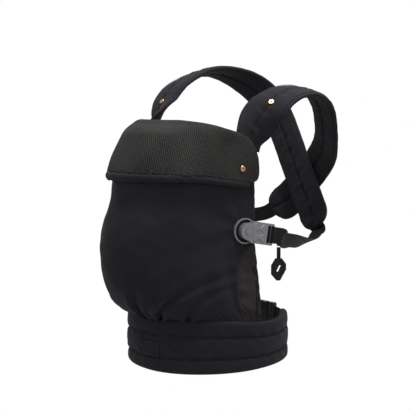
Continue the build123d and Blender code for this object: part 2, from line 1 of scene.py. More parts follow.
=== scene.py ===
import math
import bpy
import numpy as np
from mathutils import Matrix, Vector


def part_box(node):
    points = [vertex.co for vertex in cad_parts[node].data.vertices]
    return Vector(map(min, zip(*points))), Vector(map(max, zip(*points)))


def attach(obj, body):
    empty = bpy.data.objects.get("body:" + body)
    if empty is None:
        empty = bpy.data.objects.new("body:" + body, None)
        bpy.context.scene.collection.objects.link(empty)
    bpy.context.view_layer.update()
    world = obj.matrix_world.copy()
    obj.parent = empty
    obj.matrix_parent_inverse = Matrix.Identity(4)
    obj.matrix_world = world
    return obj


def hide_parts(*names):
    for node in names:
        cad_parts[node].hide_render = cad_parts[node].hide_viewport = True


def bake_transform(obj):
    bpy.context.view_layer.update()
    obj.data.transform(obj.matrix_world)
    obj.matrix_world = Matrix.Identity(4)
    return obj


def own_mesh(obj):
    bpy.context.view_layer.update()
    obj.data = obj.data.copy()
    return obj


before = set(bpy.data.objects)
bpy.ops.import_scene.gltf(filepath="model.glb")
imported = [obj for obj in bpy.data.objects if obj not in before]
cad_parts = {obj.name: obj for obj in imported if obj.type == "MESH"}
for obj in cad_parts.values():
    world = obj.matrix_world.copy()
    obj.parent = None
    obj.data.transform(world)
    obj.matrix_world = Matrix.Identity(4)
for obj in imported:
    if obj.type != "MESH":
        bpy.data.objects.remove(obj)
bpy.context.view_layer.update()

# ------------------------------------------------------------------ the studio
# A white sweep with a broad overhead softbox, a large front fill and a camera at
# chest height, an eighth of a turn to the wearer's left of the front.
belt_low, belt_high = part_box("belt_cover")
wearer = np.array([(belt_low.x + belt_high.x) / 2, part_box("panel_cover")[1].y + 0.002, 0.0])
camera_turn, camera_rise, camera_reach, look_height = 45.0, 6.0, 2.0, 0.281
turn, rise = math.radians(camera_turn), math.radians(camera_rise)
away = Vector((math.sin(turn) * math.cos(rise), -math.cos(turn) * math.cos(rise), math.sin(rise)))
aim = Vector((wearer[0], wearer[1], look_height))
camera = bpy.data.objects.new("camera", bpy.data.cameras.new("camera"))
camera.location = aim + away * camera_reach
camera.rotation_euler = away.to_track_quat("Z", "Y").to_euler()
camera.data.lens = 92.5
bpy.context.collection.objects.link(camera)
bpy.context.scene.camera = camera
bpy.context.scene.view_settings.view_transform = "Standard"


def softbox(name, place, size, power):
    """A square area light that faces the carrier."""
    lamp = bpy.data.objects.new(name, bpy.data.lights.new(name, "AREA"))
    lamp.data.size = size
    lamp.data.energy = power
    lamp.location = place
    lamp.rotation_euler = (Vector(place) - Vector((0, 0, 0.3))).to_track_quat("Z", "Y").to_euler()
    bpy.context.collection.objects.link(lamp)


softbox("overhead", (0.35, 0.05, 1.9), 1.0, 70)
softbox("front_fill", (-0.9, -2.2, 1.1), 1.4, 14)
softbox("side_fill", (2.2, -0.1, 0.9), 1.2, 16)
world = bpy.data.worlds.new("white_sweep")
world.use_nodes = True
world.node_tree.nodes["Background"].inputs["Color"].default_value = (1, 1, 1, 1)
world.node_tree.nodes["Background"].inputs["Strength"].default_value = 1.0
bpy.context.scene.world = world


# ---------------------------------------------------------------- cotton cloth
# Piece-dyed black cotton twill: matt, slightly blue, with a fine diagonal weave whose
# threads carry painted highlight and shade, a soft bloom at grazing angles, faint lint
# and broad patches of random tone and painted wrinkle shade. It covers belt, panel and straps.
def linear(code):
    """An sRGB hex colour as the linear values a shader takes."""
    share = np.array([int(code[k:k + 2], 16) for k in (1, 3, 5)]) / 255
    value = np.where(share <= 0.04045, share / 12.92, ((share + 0.055) / 1.055) ** 2.4)
    return (*value.tolist(), 1.0)


def add(tree, kind, links=None, **settings):
    """Adds one shader node with its settings, and joins or sets its inputs."""
    made = tree.nodes.new(kind)
    for name, value in settings.items():
        setattr(made, name, value)
    for name, value in (links or {}).items():
        if isinstance(value, bpy.types.NodeSocket):
            tree.links.new(value, made.inputs[name])
        else:
            made.inputs[name].default_value = value
    return made


def new_material(name, roughness, sheen=0.0, metallic=0.0, sheen_roughness=0.5, specular=0.06):
    """An empty principled material and its shader."""
    made = bpy.data.materials.new(name)
    made.use_nodes = True
    shader = made.node_tree.nodes["Principled BSDF"]
    shader.inputs["Roughness"].default_value = roughness
    shader.inputs["Metallic"].default_value = metallic
    shader.inputs["Sheen Weight"].default_value = sheen
    shader.inputs["Sheen Roughness"].default_value = sheen_roughness
    shader.inputs["Specular IOR Level"].default_value = 0.5 if metallic else specular
    return made, made.node_tree, shader


def woven(name, deep, raised, pitch, lean, bump, sheen, roughness=0.9, lint=0.5, crisp=1.0,
          squat=1.0):
    """Threads on the piece's own UVs, in metres: height is sin(u) times sin(v), both
    turned by lean. The raised threads are painted in the lighter colour and the sunk ones
    in the darker, as painted highlight and shade of the weave; fine noise adds lint, and
    broad noise adds random tone with painted shade of faint wrinkles."""
    made, tree, shader = new_material(name, roughness, sheen)
    place = add(tree, "ShaderNodeTexCoord")
    turned = add(tree, "ShaderNodeMapping", {"Vector": place.outputs["UV"],
                                             "Rotation": (0, 0, math.radians(lean)),
                                             "Scale": (math.tau / pitch, math.tau / (pitch * squat),
                                                       1)})
    split = add(tree, "ShaderNodeSeparateXYZ", {0: turned.outputs[0]})
    across = add(tree, "ShaderNodeMath", {0: split.outputs[0]}, operation="SINE")
    along = add(tree, "ShaderNodeMath", {0: split.outputs[1]}, operation="SINE")
    thread = add(tree, "ShaderNodeMath", {0: across.outputs[0], 1: along.outputs[0]},
                 operation="MULTIPLY")
    fuzz = add(tree, "ShaderNodeTexNoise", {"Vector": place.outputs["Object"], "Scale": 420.0,
                                            "Detail": 3.0})
    # Broad noise: random tone of the cloth, and painted shade of faint wrinkles.
    tone_and_wrinkle_shade = add(tree, "ShaderNodeTexNoise", {"Vector": place.outputs["Object"], "Scale": 16.0,
                                              "Detail": 4.0})
    level = add(tree, "ShaderNodeMapRange", {"Value": thread.outputs[0], "From Min": -1.0,
                                             "From Max": 1.0, "To Min": 0.5 - 0.25 * crisp,
                                             "To Max": 0.5 + 0.25 * crisp})
    mixed = add(tree, "ShaderNodeMath", {0: fuzz.outputs[0], 1: lint, 2: level.outputs[0]},
                operation="MULTIPLY_ADD")
    broad = add(tree, "ShaderNodeMath", {0: tone_and_wrinkle_shade.outputs[0], 1: 0.9, 2: mixed.outputs[0]},
                operation="MULTIPLY_ADD")
    share = add(tree, "ShaderNodeMapRange", {"Value": broad.outputs[0], "From Min": 0.35,
                                             "From Max": 1.75})
    # Painted shade and highlight: sunk threads take the darker colour (deep), raised threads the
    # lighter one (raised).
    tint = add(tree, "ShaderNodeMix", {"Factor": share.outputs[0], 6: linear(deep),
                                       7: linear(raised)}, data_type="RGBA")
    tree.links.new(tint.outputs[2], shader.inputs["Base Color"])
    bumped = add(tree, "ShaderNodeBump", {"Height": mixed.outputs[0], "Strength": bump,
                                          "Distance": 0.0005})
    tree.links.new(bumped.outputs[0], shader.inputs["Normal"])
    return made


# Real twill has threads about 0.5 mm apart; they are drawn 1.6 mm apart so that they show.
# In each woven cloth the first colour is the painted shade of its sunk threads, the second the
# painted highlight of its raised ones.
cotton = woven("black_cotton_twill", "#0a0a0c", "#1a191d", 0.0016, 45, 0.6, 0.02)
cotton_lining = woven("black_cotton_lining", "#0c0c0d", "#1a191a", 0.0014, 0, 0.5, 0.02)
thread_black = woven("black_polyester_thread", "#141416", "#26262a", 0.0006, 0, 0.3, 0.05)


def cloth_surface(name, points, material, close_across=False, close_along=False, uv=None):
    """A smooth mesh from a grid of points, rows by columns, with UVs in metres that are
    the distances run along the middle column and the middle row."""
    rows, cols = points.shape[:2]
    if uv is None:
        down = np.linalg.norm(np.diff(points, axis=0), axis=2).mean(1)
        side = np.linalg.norm(np.diff(points, axis=1), axis=2).mean(0)
        v, u = np.append(0, down.cumsum()), np.append(0, side.cumsum())
        uv = np.stack(np.broadcast_arrays(u[None, :], v[:, None]), 2)
    k = np.arange(rows * cols).reshape(rows, cols)
    if close_across:
        k = np.concatenate([k, k[:, :1]], 1)
        uv = np.concatenate([uv, uv[:, -1:] + (uv[:, -1:] - uv[:, -2:-1])], 1)
    if close_along:
        k = np.concatenate([k, k[:1]], 0)
        uv = np.concatenate([uv, uv[-1:] + (uv[-1:] - uv[-2:-1])], 0)
    quads = np.stack([k[:-1, :-1], k[:-1, 1:], k[1:, 1:], k[1:, :-1]], 2).reshape(-1, 4)
    spots = np.stack([uv[:-1, :-1], uv[:-1, 1:], uv[1:, 1:], uv[1:, :-1]], 2).reshape(-1, 2)
    mesh = bpy.data.meshes.new(name)
    mesh.from_pydata((points.reshape(-1, 3) + wearer).tolist(), [], quads.tolist())
    layer = mesh.uv_layers.new(name="cloth")
    layer.data.foreach_set("uv", spots.astype(np.float32).ravel())
    mesh.polygons.foreach_set("use_smooth", np.ones(len(quads), bool))
    mesh.materials.append(material)
    made = bpy.data.objects.new(name, mesh)
    bpy.context.collection.objects.link(made)
    return made


def thicken(piece, thickness, offset=-1.0):
    """Gives a one-sided surface its wall."""
    wall = piece.modifiers.new("wall", "SOLIDIFY")
    wall.thickness, wall.offset, wall.use_even_offset = thickness, offset, True


def ripple(*waves):
    """A fixed sum of sines: each wave is (amplitude, value)."""
    return sum(size * np.sin(value) for size, value in waves)


def stitch_line(name, path, outward, material, pitch=0.0042, length=0.0030, width=0.0011,
                lift=0.0004):
    """Thread stitches along a path: each is a six-sided spindle that dips in at both ends.
    path and outward are arrays of points and normals."""
    gaps = np.linalg.norm(np.diff(path, axis=0), axis=1)
    run = np.append(0, gaps.cumsum())
    starts = np.arange(pitch * 0.5, run[-1] - length, pitch)
    rings, sides = np.array([0, 0.2, 0.5, 0.8, 1.0]), 6
    fat = np.array([0.15, 0.8, 1.0, 0.8, 0.15]) * width / 2
    at = starts[:, None] + rings[None, :] * length
    centre = np.stack([np.interp(at, run, path[:, k]) for k in range(3)], 2)
    normal = np.stack([np.interp(at, run, outward[:, k]) for k in range(3)], 2)
    normal /= np.linalg.norm(normal, axis=2, keepdims=True)
    ahead = centre[:, -1:] - centre[:, :1]
    ahead = ahead / np.linalg.norm(ahead, axis=2, keepdims=True)
    side = np.cross(ahead, normal)
    centre = centre + normal * (lift * np.array([-0.6, 0.6, 1, 0.6, -0.6]))[None, :, None]
    spin = np.arange(sides) * math.tau / sides
    round_ = (side[:, :, None] * np.cos(spin)[:, None] + normal[:, :, None] * np.sin(spin)[:, None])
    points = centre[:, :, None] + round_ * fat[None, :, None, None]
    count, n = len(starts), len(rings)
    k = np.arange(count * n * sides).reshape(count, n, sides)
    nxt = np.roll(k, -1, axis=2)
    quads = np.stack([k[:, :-1], nxt[:, :-1], nxt[:, 1:], k[:, 1:]], 3).reshape(-1, 4)
    caps = np.concatenate([k[:, 0, ::-1], k[:, -1]])
    mesh = bpy.data.meshes.new(name)
    mesh.from_pydata((points.reshape(-1, 3) + wearer).tolist(), [], quads.tolist() + caps.tolist())
    mesh.polygons.foreach_set("use_smooth", np.ones(len(mesh.polygons), bool))
    mesh.uv_layers.new(name="cloth")
    mesh.materials.append(material)
    made = bpy.data.objects.new(name, mesh)
    bpy.context.collection.objects.link(made)
    return made


def smooth_run(value, knots, heights):
    """Reads a curve through its knots with a cubic Hermite between them."""
    knots, heights = np.asarray(knots, float), np.asarray(heights, float)
    slope = np.gradient(heights, knots, axis=0)
    value = np.clip(value, knots[0], knots[-1])
    k = np.clip(np.searchsorted(knots, value) - 1, 0, len(knots) - 2)
    gap = knots[k + 1] - knots[k]
    t = (value - knots[k]) / gap
    if heights.ndim > 1:
        gap, t = gap[..., None], t[..., None]
    return (heights[k] * (1 + 2 * t) * (1 - t) ** 2 + slope[k] * gap * t * (1 - t) ** 2
            + heights[k + 1] * t * t * (3 - 2 * t) - slope[k + 1] * gap * t * t * (1 - t))


def dip(distance, width):
    """A smooth groove: one at the middle, fading to nothing past the width."""
    return np.exp(-(distance / width) ** 2)


# ------------------------------------------------------------------- waist belt
# A padded cotton belt quilted into three foam channels by two stitched seams. Its
# wings end rounded at the back, where webbing and a side-release buckle close it.
belt_half_x = (belt_high.x - belt_low.x) / 2
belt_half_y = 0.157
belt_thick = 0.014
belt_top_front, belt_top_back = belt_high.z, 0.087
seam_low, seam_high = 0.28, 0.69
wing_angle = math.radians(149.0)
wing_corner = 0.024


def belt_top_at(y):
    """Height of the belt's top edge: it falls from the front to the sides."""
    return smooth_run(y, (-belt_half_y, -0.45 * belt_half_y, -0.01, belt_half_y),
                      (belt_top_front, 0.5 * (belt_top_front + belt_top_back) + 0.001,
                       belt_top_back, belt_top_back))


def belt_rows(angles, share, depth):
    """Places on the belt: angle from the front, share of the height, distance out from
    the outer face."""
    x, y = belt_half_x * np.sin(angles), -belt_half_y * np.cos(angles)
    normal = np.stack([x / belt_half_x ** 2, y / belt_half_y ** 2, 0 * x], -1)
    normal /= np.linalg.norm(normal, axis=-1, keepdims=True)
    height = belt_top_at(y) * share
    return np.stack([x, y, height], -1) + normal * depth[..., None], normal


along, around = 460, 88
angle = np.linspace(-wing_angle, wing_angle, along)[:, None]
turn_ = np.linspace(0, 1, around, endpoint=False)[None, :]


def seam_at(seam, angle):
    """Height share of a quilting seam: it dips a little toward the wearer's right."""
    lower = np.clip((-angle - 0.15) / 0.9, 0, 1)
    return seam - 0.085 * lower * lower * (3 - 2 * lower) * np.clip((2.3 + angle) / 0.6, 0, 1)


# The section runs up the outer face, over the top, down the lining and under.
face = np.where(turn_ < 0.5, turn_ * 2, 2 - turn_ * 2)
outer = np.where(turn_ < 0.5, 1.0, -1.0)
belt_radius = 0.150    # turns an angle round the belt into a length along it
end_gap = (wing_angle - np.abs(angle)) * belt_radius
corner = np.clip(1 - end_gap / wing_corner, 0, 1)
pinch = wing_corner * (1 - np.sqrt(1 - corner ** 2)) / 0.09
share = pinch + face * (1 - 2 * pinch)
half = belt_thick / 2
edge = np.clip(np.minimum(face, 1 - face) / 0.075, 0, 1)
puff = half * np.sqrt(1 - (1 - edge) ** 2)
for seam in (seam_at(seam_low, angle), seam_at(seam_high, angle)):
    puff = puff - 0.0042 * dip(face - seam, 0.020) - 0.0016 * dip(face - seam, 0.09)
arc = angle * belt_radius
puff = puff + 0.0007 * ripple((1, arc * 210 + 3 * np.sin(face * 9)), (0.7, arc * 97 + face * 7)) * (
    dip(face - seam_low, 0.13) + dip(face - seam_high, 0.13))
puff = puff * np.clip(end_gap / 0.010, 0, 1) ** 0.5
# A crease runs down and away from the patch, where the webbing inside pulls the cover.
crease = (face - (0.60 - (arc - 0.040) * 5.2)) * 0.09
crease_reach = np.clip((arc - 0.030) / 0.01, 0, 1) * np.clip((0.100 - arc) / 0.03, 0, 1)
puff = puff - 0.0030 * dip(crease, 0.0035) * crease_reach * (outer > 0)
puff = puff + 0.0014 * dip(crease - 0.006, 0.005) * crease_reach * (outer > 0)
wave = 0.0009 * ripple((1, arc * 23 + face * 2.0), (0.6, arc * 41 - face * 3.1),
                       (0.5, face * 6 + arc * 9))
bulge = 0.0016 * np.sin(np.pi * face) * np.ones_like(arc)
points, _ = belt_rows(angle + 0 * turn_, share, (outer * puff - half) + (wave + bulge) * 0.8)
points[..., 2] = np.maximum(points[..., 2], 0.0)
belt = cloth_surface("waist_belt", points, cotton, close_across=True)
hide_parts("belt_cover", "belt_lining", "belt_foam_lower", "belt_foam_middle",
            "belt_foam_upper")
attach(belt, "root")
# A box-stitched patch with a cross holds the inside webbing at the front.
patch_u = np.linspace(-0.5, 0.5, 60)[None, :]
patch_v = np.linspace(-0.5, 0.5, 40)[:, None]
patch_rim = np.minimum(0.5 - np.abs(patch_u), 0.5 - np.abs(patch_v))
patch_corner = np.sqrt(np.clip(patch_rim / 0.03, 0, 1))
patch_angle = (0.007 + patch_u * 0.054) / belt_radius
patch_share = (0.0425 + patch_v * 0.028) / 0.100
patch_out = 0.0008 + 0.0010 * patch_corner + 0.0004 * ripple(
    (1, patch_u * 21 + patch_v * 9), (1, patch_v * 17))
patch_points, _ = belt_rows(patch_angle + 0 * patch_v, patch_share + 0 * patch_u,
                            patch_out + 0.0014)
patch = cloth_surface("belt_patch_cloth", patch_points, cotton)
thicken(patch, 0.0022)
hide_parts("belt_patch")
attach(patch, "root")
corners = np.array(((-1, -1), (1, -1), (1, 1), (-1, 1), (-1, -1), (1, 1), (1, -1),
                    (-1, 1))) * (0.0240, 0.0112)
for number in range(7):
    share_ = np.linspace(0, 1, 80)[:, None]
    spot = corners[number] * (1 - share_) + corners[number + 1] * share_
    path, normal = belt_rows((0.007 + spot[:, 0]) / belt_radius, (0.0425 + spot[:, 1]) / 0.100,
                             np.full(80, 0.0034))
    line = stitch_line(f"belt_patch_stitches_{number}", path, normal, thread_black)
    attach(line, "root")
for seam, word in ((seam_low, "lower"), (seam_high, "upper")):
    run = np.linspace(-wing_angle + 0.06, wing_angle - 0.06, 700)
    path, normal = belt_rows(run, seam_at(seam, run), np.full_like(run, -0.0030))
    line = stitch_line(f"belt_stitches_{word}", path, normal, thread_black)
    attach(line, "root")


# ------------------------------------------------------------------ front panel
# Two layers of cotton twill with thin wadding, cut as a seat for the child. It is
# gathered into the belt with five darts and held out by the leg seams at the sides.
panel_width, panel_depth, panel_top = 0.119, 0.237, 0.444
panel_back = -0.002
heights = 0.446 * np.array((0.10, 0.188, 0.215, 0.238, 0.274, 0.327, 0.399, 0.471, 0.543, 0.614,
                            0.686, 0.758, 0.830, 0.883, 0.919, 0.937, 0.955, 0.973, 0.989, 1.004))
widths = panel_width * np.array((1.15, 1.151, 1.151, 1.143, 1.134, 1.109, 1.067, 1.013, 1, 1, 1,
                                 1, 1, 1, 1, 1, 0.996, 0.992, 0.983, 0.975))
depths = panel_depth * np.array((0.58, 0.616, 0.650, 0.726, 0.827, 0.903, 0.962, 1.0, 1, 0.962,
                                 0.899, 0.878, 0.832, 0.781, 0.741, 0.720, 0.694, 0.640, 0.572,
                                 0.530))


def panel_place(t, z, out, side_out=None):
    """A place on the panel's oval, turned by t from the front, moved outward by out at
    the front and by side_out at the sides."""
    side_out = out if side_out is None else side_out
    a, b = smooth_run(z, heights, widths) + side_out, smooth_run(z, heights, depths) + out
    return np.stack([a * np.sin(t), panel_back - b * np.cos(t), z + 0 * t], -1)


def surface_normals(points):
    """Unit normals of a grid of points."""
    across = np.gradient(points, axis=1)
    up = np.gradient(points, axis=0)
    normal = np.cross(across, up)
    return normal / np.maximum(np.linalg.norm(normal, axis=2, keepdims=True), 1e-12)


def edge_drop(y):
    """How far the panel's top edge has fallen at a place y."""
    return smooth_run(y, (-0.120, -0.089, -0.060, -0.028, -0.010, 0.0),
                      (0, -0.006, -0.014, -0.027, -0.042, -0.058))


panel_cols, panel_rows, panel_base = 250, 190, 0.084
t = np.linspace(-np.pi / 2, np.pi / 2, panel_cols)[None, :]
s = np.linspace(0, 1, panel_rows)[:, None]
top_edge = panel_top + edge_drop(-0.130 * np.cos(t))
z = panel_base + (top_edge - panel_base) * s
flat_panel = panel_place(t, z, 0.0)
x, y = flat_panel[..., 0], flat_panel[..., 1]
rise_ = np.clip(z - 0.094, 0, None)
relief = np.zeros_like(x)
# Darts: each is a sharp valley between two soft ridges, deepest at the belt.
for start, lean, deep_, reach_ in ((0.006, 0.50, 0.0085, 0.060), (0.031, 1.10, 0.0085, 0.075),
                                   (0.077, 0.70, 0.0050, 0.055), (-0.032, -0.40, 0.0045, 0.055),
                                   (-0.072, -0.60, 0.0040, 0.055), (-0.106, -0.35, 0.0030, 0.05)):
    away_ = x - start - lean * rise_
    wide = 0.0035 + 0.075 * rise_
    fade = np.exp(-(rise_ / reach_) ** 1.5)
    relief += deep_ * fade * (-dip(away_, wide) + 0.55 * dip(np.abs(away_) - 2.1 * wide, wide))
# Gathers along the belt, drags toward the side buckles and a slow sway in the cloth.
run = t * 0.17
relief += 0.0007 * np.exp(-rise_ / 0.022) * ripple((1, run * 620 + 2 * np.sin(run * 90)),
                                                  (0.7, run * 391 + 1.0))
for side in (1, -1):
    pull_z = z - 0.252
    far = np.hypot(y + 0.045, pull_z)
    fan = np.arctan2(pull_z, -(y + 0.045) + 0.02)
    near = np.exp(-((far - 0.055) / 0.05) ** 2) * (side * x > 0)
    relief += 0.0016 * near * np.sin(fan * 9 + 0.6) * np.clip((-y - 0.03) / 0.03, 0, 1)
    hang = np.clip((0.235 - z) / 0.05, 0, 1) * np.clip((z - 0.10) / 0.03, 0, 1)
    relief += 0.0022 * hang * (side * x > 0) * (
        -dip(y + 0.066 + 0.10 * (z - 0.16), 0.010) + 0.7 * dip(y + 0.088 + 0.16 * (z - 0.16), 0.013)
        - 0.6 * dip(y + 0.116 + 0.24 * (z - 0.16), 0.013))
relief += 0.0012 * ripple((1, x * 31 + z * 17), (0.8, x * 19 - z * 33 + 1), (0.5, z * 47 + y * 21))
relief += 0.0003 * ripple((1, x * 160 + z * 90), (0.8, x * 110 - z * 140), (0.6, z * 210 + y * 120))
sag = 0.0015 * dip(z - 0.20, 0.05)
relief -= 0.0012 * np.clip(1 - (top_edge - z) / 0.010, 0, 1)


def leg_seam(z):
    """How far forward the leg gusset reaches at a height."""
    share_ = np.clip((z - 0.100) / 0.132, 0, 1)
    return 0.047 * np.clip(1 - np.abs(2 * share_ ** 0.72 - 1) ** 3.2, 0, 1)


seam_gap = (-y + panel_back) - leg_seam(z)
on_gusset = (z > 0.100) & (z < 0.232)
relief -= 0.0024 * dip(seam_gap, 0.0030) * on_gusset
relief += 0.0016 * dip(seam_gap - 0.006, 0.0035) * on_gusset
relief -= 0.0010 * dip(np.clip(-seam_gap, 0, None) - 0.012, 0.02) * (seam_gap < 0) * on_gusset
relief += 0.0011 * ripple((1, z * 240 + y * 60), (0.6, z * 133 - y * 150)) * (
    (seam_gap < 0.004) & on_gusset) * dip(np.abs(seam_gap) - 0.004, 0.012)
panel_points = flat_panel + surface_normals(flat_panel) * (relief + sag)[..., None]
panel = cloth_surface("front_panel", panel_points, cotton)
gusset_cloth = woven("grey_brown_leg_gusset", "#161213", "#272223", 0.0018, 90, 0.6, 0.02)
panel.data.materials.append(cotton_lining)
panel.data.materials.append(gusset_cloth)
middle = (seam_gap[:-1, :-1] + seam_gap[1:, 1:]) / 2
in_gusset = (middle < 0) & on_gusset[:-1, :-1] & (leg_seam(z)[:-1, :-1] > 0.001)
panel.data.polygons.foreach_set("material_index",
                                np.where(in_gusset, 2, 0).ravel().astype(np.int32))
thicken(panel, 0.0036)
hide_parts("panel_cover", "panel_lining", "leg_gusset_left", "leg_gusset_right",
            "edge_binding_left", "edge_binding_right", "buckle_anchor_patch_left",
            "buckle_anchor_patch_right")
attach(panel, "root")


def on_panel(t, z, out):
    """The panel's own relief, read back at any place between its grid points, with its
    normals."""
    col = (t / np.pi + 0.5) * (panel_cols - 1)
    edge = np.interp(col, np.arange(panel_cols), top_edge[0])
    row = np.clip((z - panel_base) / (edge - panel_base), 0, 1) * (panel_rows - 1)
    r = np.clip(row.astype(int), 0, panel_rows - 2)
    c = np.clip(col.astype(int), 0, panel_cols - 2)
    down, across = (row - r)[:, None], (col - c)[:, None]

    def between(grid):
        return ((grid[r, c] * (1 - across) + grid[r, c + 1] * across) * (1 - down)
                + (grid[r + 1, c] * (1 - across) + grid[r + 1, c + 1] * across) * down)

    normal = between(surface_normals(panel_points))
    return between(panel_points) + normal * out, normal


# Seam stitching beside each leg gusset, and a bound edge above it.
for side, word in ((1, "left"), (-1, "right")):
    climb = np.linspace(0.104, 0.228, 300)
    forward = leg_seam(climb) + 0.0095
    depth_here = smooth_run(climb, heights, depths)
    angle_ = side * np.arccos(np.clip(forward / depth_here, 0, 1))
    path, normal = on_panel(angle_, climb, 0.0002)
    line = stitch_line(f"leg_seam_stitches_{word}", path, normal, thread_black)
    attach(line, "root")
    climb = np.linspace(0.100, 0.384, 220)
    a_, b_ = smooth_run(climb, heights, widths), smooth_run(climb, heights, depths)
    spin = np.linspace(0, math.tau, 14, endpoint=False)
    ring = np.stack([np.cos(spin) * 0.0033 + 0 * spin, np.sin(spin) * 0.0062], -1)
    centre = np.stack([side * (a_ - 0.0016), np.full_like(climb, panel_back - 0.0045), climb], -1)
    wobble = 0.0005 * np.sin(climb * 260)[:, None]
    points = centre[:, None] + np.stack([side * ring[None, :, 0] + wobble,
                                         ring[None, :, 1] + 0 * wobble,
                                         np.zeros((len(climb), 14))], -1)
    bound = cloth_surface(f"bound_edge_{word}", points[:, ::side], cotton, close_across=True)
    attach(bound, "root")

# ----------------------------------------------------------------- head support
# Spacer mesh lined with cotton, sewn to the panel's top edge and stored folded
# outward over it. The lining rolls out under the mesh as a soft cotton edge.
# Near-black #010101 is painted shade down in the mesh's holes; #2c2c2b is the grey of its cells.
air_mesh = woven("grey_air_mesh", "#010101", "#2c2c2b", 0.0050, 27, 1.0, 0.0, 0.8, 0.25, 3.0, 0.62)
hood_side, hood_front, hood_thick = 0.014, 0.0054, 0.0046
hood_crest = 0.448


def hood_hem(y):
    """Height of the mesh's lower edge."""
    return smooth_run(y, (-0.218, -0.130, -0.047, -0.002), (0.355, 0.351, 0.339, 0.333))


t = np.linspace(-np.pi / 2, np.pi / 2, 520)[None, :]
n_loop = 150
loop = np.linspace(0, 1, n_loop, endpoint=False)[:, None]
climb = np.where(loop < 0.5, loop * 2, 2 - loop * 2)
side_gap = (np.pi / 2 - np.abs(t)) * 0.17
round_off = 1 - np.sqrt(1 - np.clip(1 - side_gap / 0.022, 0, 1) ** 2)
low = hood_hem(-0.223 * np.cos(t)) + 0.020 * round_off
high = hood_crest + edge_drop(-0.131 * np.cos(t)) - 0.026 * round_off
z = low + (high - low) * climb
edge_near = np.clip(np.minimum(climb * (high - low) / 0.0045,
                               (1 - climb) * (high - low) / 0.006), 0, 1)
half = hood_thick / 2 * np.sqrt(1 - (1 - edge_near) ** 2) * np.clip(side_gap / 0.004, 0.05, 1)
outward = np.where(loop < 0.5, 1, -1) * half
body = -hood_thick / 2
sway = 0.0016 * ripple((1, t * 5.2 + z * 30), (0.7, t * 9 - z * 22 + 2), (0.4, t * 15 + z * 44))
sway = sway * np.clip((high - z) / 0.02, 0, 1)
puckers = 0.0007 * ripple((1, t * 83), (0.8, t * 47 + 1)) * np.exp(-(z - low) / 0.008)
droop = 0.0030 * dip(z - low - 0.02, 0.03) * dip(t + 0.9, 0.5)
hood_points = panel_place(t, z, hood_front + body + outward + sway + puckers + droop,
                          hood_side + body + outward + sway + puckers + droop)
hood = cloth_surface("head_support_mesh_cloth", hood_points, air_mesh, close_along=True)
hood.data.materials.append(cotton_lining)
k = np.zeros((n_loop, 519), np.int32)
k[n_loop // 2 + 2:-1] = 1
hood.data.polygons.foreach_set("material_index", k.ravel())
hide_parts("head_support_mesh", "head_support_lining")
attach(hood, "head_support")

# The sewn crest stays on the panel's top edge when the head support is turned up.
t = np.linspace(-0.62, 0.62, 200)[:, None]
spin = np.linspace(0, math.tau, 20, endpoint=False)[None, :]
taper = np.sqrt(np.clip(1 - np.clip((np.abs(t) - 0.56) / 0.06, 0, 1) ** 2, 0.01, 1))
z = 0.4438 + 0.0024 * taper * np.sin(spin)
crest_out = hood_front - 0.0030 + 0.0013 * taper * np.cos(spin)
crest = cloth_surface("head_support_sewn_crest",
                      panel_place(t, z, crest_out, hood_side - 0.0030)[:, ::-1], cotton,
                      close_across=True)
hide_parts("head_support_crest")
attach(crest, "root")

# The rolled cotton edge: fuller and drooping on the wearer's right.
t = np.linspace(-1.50, 1.47, 420)[:, None]
spin = np.linspace(0, math.tau, 40, endpoint=False)[None, :]
full = smooth_run(t, (-1.50, -1.30, -1.05, -0.70, -0.20, 0.40, 0.95, 1.30, 1.47),
                  (0.018, 0.021, 0.0165, 0.0085, 0.0072, 0.0068, 0.0058, 0.0050, 0.0042))
ends = np.sqrt(np.clip(1 - np.clip((np.abs(t + 0.015) - 1.44) / 0.046, 0, 1) ** 2, 0.002, 1))
fat = smooth_run(t, (-1.50, -0.9, 0.0, 1.47), (0.0060, 0.0056, 0.0046, 0.0034))
hem_here = hood_hem(-0.223 * np.cos(t))
crumple = 1 + 0.05 * ripple((1, t * 31), (0.7, t * 57 + 1.3)) + 0.04 * np.sin(t * 43 + spin * 2)
z = hem_here - full * 0.72 + full * ends * crumple * np.sin(spin)
out = 0.0014 + fat * ends * crumple * np.cos(spin) + 0.0008 * np.sin(t * 12)
roll_points = panel_place(t + 0 * spin, hem_here - full * 0.8 + 0 * spin, hood_front + out,
                          hood_side - 0.004 + out)
roll_points[..., 2] = z
roll = cloth_surface("head_support_rolled_edge", roll_points[:, ::-1], cotton, close_across=True)
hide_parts("head_support_roll")
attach(roll, "head_support")
t_line = np.linspace(-1.42, 1.42, 700)
hem_line = hood_hem(-0.223 * np.cos(t_line)) + 0.0052
path = panel_place(t_line, hem_line, hood_front + 0.0003, hood_side + 0.0003)
normal = path * (1, 1, 0) + (0, 0.002, 0)
normal = normal / np.linalg.norm(normal, axis=1, keepdims=True)
line = stitch_line("head_support_hem_stitches", path, normal, thread_black, pitch=0.0046)
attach(line, "head_support")
# Each turned-up piece gets a mesh of its own.
for folded in (hood, roll, line):
    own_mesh(folded)

